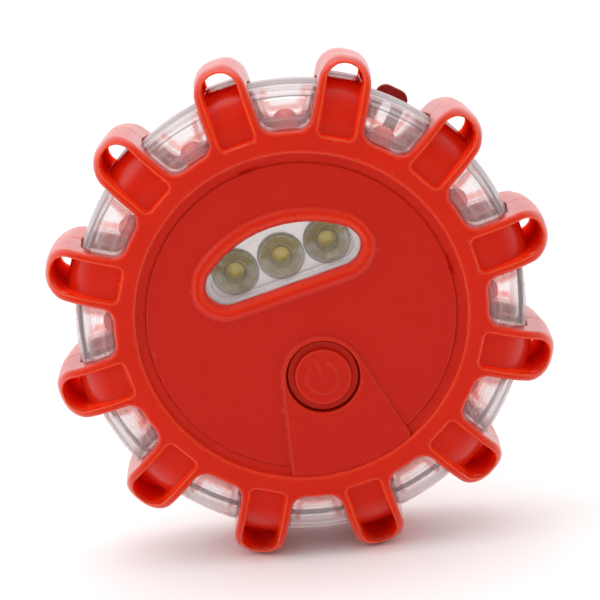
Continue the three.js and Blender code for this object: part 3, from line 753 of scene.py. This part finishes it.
# The second colour is the painted reflection of the phosphor in the lens bowl.
OPTIC = optic_material("optic_plastic", (1, 1, 0.99, 1), srgb(196, 170, 36))
LAMP_LENS = lamp_material("lamp_epoxy", srgb(244, 52, 36), srgb(232, 38, 26))
WHITE = plastic_material("white_plastic", srgb(251, 250, 250), srgb(246, 244, 244), 0.25)
PHOSPHOR = masked_material("phosphor", "metal", srgb(216, 206, 150), srgb(244, 218, 90), 0.4, 0.0)
BOARD = masked_material("solder_mask", "metal", srgb(238, 239, 232), srgb(40, 40, 42), 0.35, 0.0)
CHIP = masked_material("chip_epoxy", "metal", srgb(26, 26, 28), (0.7, 0.7, 0.7, 1), 0.45)
CAN = masked_material("capacitor_can", "metal", srgb(28, 28, 30), (0.72, 0.73, 0.75, 1), 0.4)
SLEEVE = masked_material("cell_sleeve", "metal", srgb(36, 58, 128), (0.74, 0.72, 0.68, 1), 0.28)
BLACK = plastic_material("black_plastic", srgb(24, 24, 26), srgb(34, 34, 36), 0.45)
RED_PLASTIC = plastic_material("red_plastic", srgb(176, 24, 14), srgb(158, 20, 12), 0.36, shine=0.25)
# Painted shade: a darker copy of the red plastic, for the shade the hook sits in on the rear.
PAINTED_SHADE_HOOK_PLASTIC = plastic_material("hook_plastic_painted_shade", srgb(150, 18, 12), srgb(132, 15, 10), 0.36, shine=0.25)
SEAL = plastic_material("seal_rubber", srgb(232, 212, 212), srgb(222, 200, 200), 0.5)
STEEL = metal_material("steel", (0.62, 0.63, 0.65, 1), 0.22)
NICKEL = metal_material("nickel", (0.5, 0.5, 0.51, 1), 0.24)

# ---------------------------------------------------------------- pieces


def wear(piece, look, body, slot, *nodes):
    piece.data.materials.append(look)
    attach(piece, body)
    if nodes:
        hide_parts(*nodes)
    return piece


def add_mask(piece, name, mask):
    """Point attribute worked out from the disc-frame place of each point."""
    count = len(piece.data.vertices)
    points = np.zeros(count * 3, np.float32)
    piece.data.vertices.foreach_get("co", points)
    back = np.array(DISC.inverted())
    points = points.reshape(-1, 3).astype(float) @ back[:3, :3].T + back[:3, 3]
    layer = piece.data.attributes.new(name, "FLOAT", "POINT")
    layer.data.foreach_set("value", mask(*points.T).astype(np.float32))


def panel_mask(x, y, z):
    inside = np.clip((31.6 - np.hypot(x, y)) / 0.5, 0, 1)
    pad = np.clip((0.3 - button_pad(x, y)) / 0.5, 0, 1) * (z > 13) * (np.hypot(x, y) < 32.7)
    rim = np.clip(window(x, y, 3) / 0.4 + 0.5, 0, 1)
    return np.maximum(inside, pad) * rim * (z > 12.5)


def pocket_mask(x, y, z):
    """The walls inside each lobe's pocket and, at half strength, the top of the strap."""
    radius, along, across = lobe_frame(x, y)
    pocket = pocket_plan(along, across)
    crown = both(radius - CROWN_RADIUS, np.abs(z) - HALF_DEPTH, CROWN_ROUND)
    walls = np.clip(1.6 - np.abs(pocket) / 0.3, 0, 1) * np.clip(-crown / 0.5 - 0.8, 0, 1)
    strap_top = 0.45 * (pocket < 0) * (radius > 45.5) * (np.abs(z) < 9)
    return np.maximum(walls, strap_top)


def painted_show_through_mask(x, y, z):
    """Inner side walls of the notch bosses, which get a painted red tint standing for the rubber beside
    them showing through.
    """
    radius, along, across = lobe_frame(x, y)
    off = star(radius, along, across) - GAP
    depth = np.abs(z)
    return np.clip(1.5 - np.abs(off - WALL) / 0.4, 0, 1) * (depth > 4) * (depth < 12) * (radius > 37)


def shoulder_mask(x, y, z):
    """Outer face of the front half's rim, which carries the moulded line."""
    return (z > 7) * (shell_outside(x, y, z, BOSS_FACE_FRONT) > -WALL / 2) * 1.0


REACH = 53
CELL = 0.32
halves = {"front": (front_bumper, 0, 15.6, 0.05), "rear": (rear_bumper, -15.6, 0, 0.1)}
for end, (shape, z0, z1, flatness) in halves.items():
    bumper = surface(f"{end}_rubber", shape, (-REACH, -REACH, z0), (REACH, REACH, z1), CELL, flatness)
    add_mask(bumper, "panel", panel_mask)
    add_mask(bumper, "pocket", pocket_mask)
    wear(bumper, RUBBER, "housing", "rubber_red", f"{end}_bumper")

halves = {"front": (front_shell, 0, 14), "rear": (rear_shell, -12.9, 2.2)}
for end, (shape, z0, z1) in halves.items():
    shell = surface(f"{end}_clear", shape, (-46.6, -46.6, z0), (46.6, 46.6, z1), CELL, 0.1)
    add_mask(shell, "panel", lambda x, y, z: (window(x, y, 0.5) < 0) * (z > 5.0))
    add_mask(shell, "painted_show_through", painted_show_through_mask)
    add_mask(shell, "shoulder", shoulder_mask)
    add_mask(shell, "boss", lambda x, y, z: np.clip(np.abs(z) - RING_SHOULDER - 1, 0, 1))
    face = BOSS_FACE_FRONT if end == "front" else BOSS_FACE_REAR
    add_mask(shell, "inner", lambda x, y, z, face=face: shell_outside(x, y, np.abs(z), face) < -WALL / 2)
    wear(shell, CLEAR, "housing", "clear_shell", f"{end}_shell")

reach = BUTTON_FLANGE + GAP
button = surface("button_cap", power_button, (-reach, BUTTON_Y - reach, 8.7),
                 (reach, BUTTON_Y + reach, 15.3), 0.12, 0.02)
add_mask(button, "panel", lambda x, y, z: np.ones_like(x))
wear(button, RUBBER, "power_button", "button_rubber", "power_button")

holder = surface("lens_seat", lens_holder, (-18.5, 4.5, 3.8), (18.5, 21.3, 10.4), 0.2, 0.05)
wear(holder, WHITE, "housing", "holder_white", "lens_holder")

for k in range(3):
    shift = (k - 1) * LENS_PITCH

    def lens_here(x, y, z, shift=shift):
        return spot_lens(x - shift, y - LENS_Y, z)

    def emitter_here(x, y, z, shift=shift):
        return white_led(x - shift, y - LENS_Y, z)

    lens = surface(f"spot_optic_{k + 1}", lens_here, (shift - 5, LENS_Y - 5, 5.0),
                   (shift + 5, LENS_Y + 5, 9.2), 0.14, 0.0)
    add_mask(lens, "bowl", lambda x, y, z, shift=shift: bowl_mask(x - shift, y - LENS_Y, z))
    wear(lens, OPTIC, "housing", "lens", f"spot_lens_{k + 1}")
    led = surface(f"emitter_{k + 1}", emitter_here, (shift - 2, LENS_Y - 2, 3.8),
                  (shift + 2, LENS_Y + 2, 5.8), 0.1, 0.02)

    def dome_here(x, y, z, shift=shift):
        return np.hypot(x - shift, y - LENS_Y) < CHIP_RADIUS + 0.05

    add_mask(led, "metal", dome_here)
    wear(led, PHOSPHOR, "housing", "phosphor", f"white_led_{k + 1}")

LAMP_REACH = (LED_ROOT - 0.5, LED_ROOT + 8.7)
for k in range(12):
    angle = math.radians(75 - k * 30)

    def led_here(x, y, z, angle=angle):
        along, across = turned(x, y, angle)
        return red_led(along, across, z)

    c, s = math.cos(angle), math.sin(angle)
    ends = [(r * c - side * s, r * s + side * c) for r in LAMP_REACH for side in (-3.3, 3.3)]
    xs, ys = zip(*ends)
    lamp = surface(f"side_lamp_{k + 1}", led_here, (min(xs), min(ys), -0.3),
                   (max(xs), max(ys), 6.3), 0.2, 0.02)
    wear(lamp, LAMP_LENS, "housing", "red_led", f"red_led_{k + 1}")


def simple(name, shape, low, high, cell, look, body, slot, node, mask=None):
    """One piece that stands in for one CAD node; mask says where its second finish goes."""
    piece = surface(name, shape, low, high, cell, 0.02)
    if mask:
        add_mask(piece, "metal", mask)
    wear(piece, look, body, slot, node)


simple("board_plate", circuit_board, (-32, -32, 1.8), (32, 32, 4.7), 0.28, BOARD, "housing", "board",
       "circuit_board", lambda x, y, z: z > BOARD_FRONT + 0.15)
simple("chip", controller_chip, (8.5, -15.3, 3.8), (14.5, -10.3, 5.9), 0.1, CHIP, "housing",
       "black_plastic", "controller_chip", lambda x, y, z: np.abs(y - BUTTON_Y) > 1.33)
simple("can", capacitor, (-14.4, -15.2, 3.8), (-9.6, -10.4, 8.9), 0.12, CAN, "housing", "plain_steel",
       "capacitor", lambda x, y, z: z > 4.75)
simple("switch_case", switch_body, (-3.3, -16.1, 3.8), (3.3, -9.5, 7.7), 0.12, CHIP, "housing",
       "black_plastic", "switch_body", lambda x, y, z: z > 7.0)
simple("plunger", switch_plunger, (-2, -14.8, 6.2), (2, -10.8, 9), 0.12, WHITE, "switch_plunger",
       "plunger_white", "switch_plunger")
simple("tray", battery_tray, (-27, -18, -12.3), (27, 18, 0.9), 0.3, BLACK, "housing", "black_plastic",
       "battery_tray")
simple("door", battery_door, (-31, -31, -15.6), (31, 31, -11.3), 0.26, RED_PLASTIC, "battery_door",
       "red_plastic", "battery_door")
simple("hook_arm", hook, (7, 7, -15.5), (37.2, 37.2, -13.0), 0.2, PAINTED_SHADE_HOOK_PLASTIC, "hook",
       "red_plastic", "hook")
simple("magnet_disc", magnet, (-10.4, -10.4, -15.6), (10.4, 10.4, -12.3), 0.2, NICKEL, "battery_door",
       "magnet", "magnet")


def door_screw(x, y, z):
    return screw(x, y - DOOR_SCREW_Y, z, -15.1, -4.8, 2.6, 1.5)


simple("door_fixing", door_screw, (-3, DOOR_SCREW_Y - 3, -15.5), (3, DOOR_SCREW_Y + 3, -4.4), 0.12,
       STEEL, "door_screw", "plain_steel", "door_screw")
for k, (sx, sy) in enumerate(CASE_SCREWS):
    def case_screw(x, y, z, sx=sx, sy=sy):
        return screw(x - sx, y - sy, z, -11.9, 8.3, 2.2, 1.4)

    simple(f"case_fixing_{k + 1}", case_screw, (sx - 2.6, sy - 2.6, -12.3),
           (sx + 2.6, sy + 2.6, 8.7), 0.14, STEEL, "housing", "plain_steel", f"case_screw_{k + 1}")

BAY_END = TRAY_X - TRAY_WALL
for k in range(3):
    row, flip = (k - 1) * CELL_PITCH, -1 if k == 1 else 1
    start = BAY_END - 1 - CELL_LENGTH

    def cell_here(x, y, z, row=row, flip=flip):
        return cell(flip * x - start, y - row, z)

    def bare_metal(x, y, z, row=row, flip=flip):
        along, off = flip * x - start, np.hypot(y - row, z - CELL_Z)
        return (along > 43.25) | ((off < 4.2) & (along < 0.6)) | (np.abs(along - 36.5) < 3)

    simple(f"aaa_cell_{k + 1}", cell_here, (-25, row - 5.6, -11.7), (25, row + 5.6, -0.5), 0.24, SLEEVE,
           "housing", "cell_can", f"cell_{k + 1}", bare_metal)

STRIPS = [(1, -CELL_PITCH - 4, 4), (1, CELL_PITCH - 4, CELL_PITCH + 4),
          (-1, -CELL_PITCH - 4, -CELL_PITCH + 4), (-1, -4, CELL_PITCH + 4)]
for k, (side, y0, y1) in enumerate(STRIPS):
    def plate_here(x, y, z, side=side, y0=y0, y1=y1):
        return contact_plate(x, y, z, side, y0, y1)

    near, far = sorted((side * (BAY_END - 1.0), side * (BAY_END + 0.1)))
    simple(f"strip_{k + 1}", plate_here, (near, y0 - 0.3, -10.5), (far, y1 + 0.3, -1.7), 0.12,
           STEEL, "housing", "plain_steel", f"contact_plate_{k + 1}")


def swept(name, path, across, out, radius, closed):
    """Round wire along a path, with its section's two axes given at each point."""
    sides = (np.arange(WIRE_SIDES) * 2 * math.pi / WIRE_SIDES)[None, :, None]
    normals = across[:, None] * np.cos(sides) + out[:, None] * np.sin(sides)
    points = path[:, None] + normals * radius
    rows = len(path)
    first = np.arange(rows if closed else rows - 1)[:, None]
    here, after = first * WIRE_SIDES, (first + 1) % rows * WIRE_SIDES
    side = np.arange(WIRE_SIDES)
    on = (side + 1) % WIRE_SIDES
    quads = np.stack([here + side, here + on, after + on, after + side], 2).reshape(-1, 4)
    return build(name, points.reshape(-1, 3), [], quads, normals.reshape(-1, 3), None)


def spring(name, row, flip):
    """Conical contact spring standing on its strip."""
    share = np.linspace(0, 1, 150)
    angle = share * SPRING_TURNS * 2 * math.pi
    coil = SPRING_RADIUS - 1.5 * share
    radial = np.stack([np.zeros_like(share), np.cos(angle), np.sin(angle)], 1)
    path = radial * coil[:, None]
    path[:, 0] = 0.3 + 2.5 * share
    tangent = np.gradient(path, axis=0)
    tangent /= np.linalg.norm(tangent, axis=1)[:, None]
    side = np.cross(tangent, radial)
    place = np.array([1.4 - BAY_END, 0, 0])
    turned_path, turned_side, turned_radial = [v * [flip, flip, 1] for v in (path + place, side, radial)]
    return swept(name, turned_path + [0, row, CELL_Z], turned_side, turned_radial, WIRE_RADIUS, False)


for k in range(3):
    wire = spring(f"spring_wire_{k + 1}", (k - 1) * CELL_PITCH, -1 if k == 1 else 1)
    wear(wire, STEEL, "housing", "plain_steel", f"contact_spring_{k + 1}")


def sealing_ring(name, inner, outer, z0, z1):
    """Flat ring with round edges."""
    angle = np.arange(RING_STEPS) * 2 * math.pi / RING_STEPS
    out = np.stack([np.cos(angle), np.sin(angle), np.zeros(RING_STEPS)], 1)
    up = np.tile([0, 0, (z1 - z0) / (outer - inner)], (RING_STEPS, 1))
    path = out * (inner + outer) / 2 + [0, 0, (z0 + z1) / 2]
    return swept(name, path, out, up, (outer - inner) / 2, True)


wear(sealing_ring("gasket_ring", 44.7, 45.8, -0.2, 0.2), SEAL, "housing", "seal_rubber", "seam_gasket")
wear(sealing_ring("door_ring", 28.4, 30.2, -12.65, -12.3), SEAL, "battery_door", "seal_rubber", "door_seal")

# ---------------------------------------------------------------- camera, floor, light

scene = bpy.context.scene
scene.view_settings.view_transform = "Standard"

CAMERA = {"azimuth": 0.17, "elevation": 12.709, "roll": -4.784, "distance": 0.39995, "lens": 117,
          "across": -0.0001, "above": 0.00038}
a, e, r = (math.radians(CAMERA[name]) for name in ("azimuth", "elevation", "roll"))
back = Vector((math.sin(a) * math.cos(e), -math.cos(a) * math.cos(e), math.sin(e)))
turn = (-back).to_track_quat("-Z", "Y").to_matrix() @ Matrix.Rotation(r, 3, "Z")
camera = bpy.data.objects.new("camera", bpy.data.cameras.new("camera"))
camera.data.lens = CAMERA["lens"]
camera.data.clip_start = 0.01
camera.rotation_euler = turn.to_euler()
camera.location = (CENTRE + back * CAMERA["distance"]
                   + turn.col[0] * CAMERA["across"] + turn.col[1] * CAMERA["above"])
scene.collection.objects.link(camera)
scene.camera = camera

FLOOR = 12.0
corners = [(-FLOOR, -FLOOR, 0), (FLOOR, -FLOOR, 0), (FLOOR, FLOOR, 0), (-FLOOR, FLOOR, 0)]
floor_mesh = bpy.data.meshes.new("floor")
floor_mesh.from_pydata(corners, [], [(0, 1, 2, 3)])
floor = bpy.data.objects.new("floor", floor_mesh)
scene.collection.objects.link(floor)
paper, shaded_paper = (0.96, 0.96, 0.96, 1), (0.95, 0.95, 0.95, 1)
floor_mesh.materials.append(plastic_material("floor_paper", paper, shaded_paper, 0.8, 900))


def area_light(name, place, aim, size, power, colour=(1, 1, 1)):
    light = bpy.data.lights.new(name, "AREA")
    light.shape = "RECTANGLE"
    light.size, light.size_y = size
    light.energy = power
    light.color = colour
    lamp = bpy.data.objects.new(name, light)
    lamp.location = place
    lamp.rotation_euler = (Vector(aim) - Vector(place)).to_track_quat("-Z", "Y").to_euler()
    scene.collection.objects.link(lamp)


area_light("top_softbox", (-0.1, 0.1, 0.75), (0, 0, 0.05), (0.7, 0.4), 1.2)
area_light("left_softbox", (-0.7, -0.35, 0.5), (0, 0, 0.05), (0.4, 0.5), 1.2)


def studio(zenith, behind, front):
    """Soft white room: brightest overhead, and dimmer towards the viewer's side."""
    world = bpy.data.worlds.new("studio")
    world.use_nodes = True
    nodes, links = world.node_tree.nodes, world.node_tree.links
    place = nodes.new("ShaderNodeTexCoord")
    split = nodes.new("ShaderNodeSeparateXYZ")
    links.new(place.outputs["Generated"], split.inputs[0])
    depth = nodes.new("ShaderNodeMapRange")
    height = nodes.new("ShaderNodeMapRange")
    for node, axis, ends in ((depth, 1, (-0.9, 0.3, front, behind)), (height, 2, (0.1, 0.9, 0, 1))):
        links.new(split.outputs[axis], node.inputs[0])
        for socket, value in zip(node.inputs[1:5], ends):
            socket.default_value = value
    level = nodes.new("ShaderNodeMix")
    links.new(height.outputs[0], level.inputs[0])
    links.new(depth.outputs[0], level.inputs[2])
    level.inputs[3].default_value = zenith
    links.new(level.outputs[0], nodes["Background"].inputs["Strength"])
    nodes["Background"].inputs["Color"].default_value = (1, 1, 1, 1)
    return world


scene.world = studio(zenith=1.15, behind=1.15, front=0.45)
# Light passes many clear walls, and has to find its way into the narrow lobe pockets.
scene.cycles.transparent_max_bounces = 32
scene.cycles.diffuse_bounces = 8
scene.cycles.max_bounces = 16
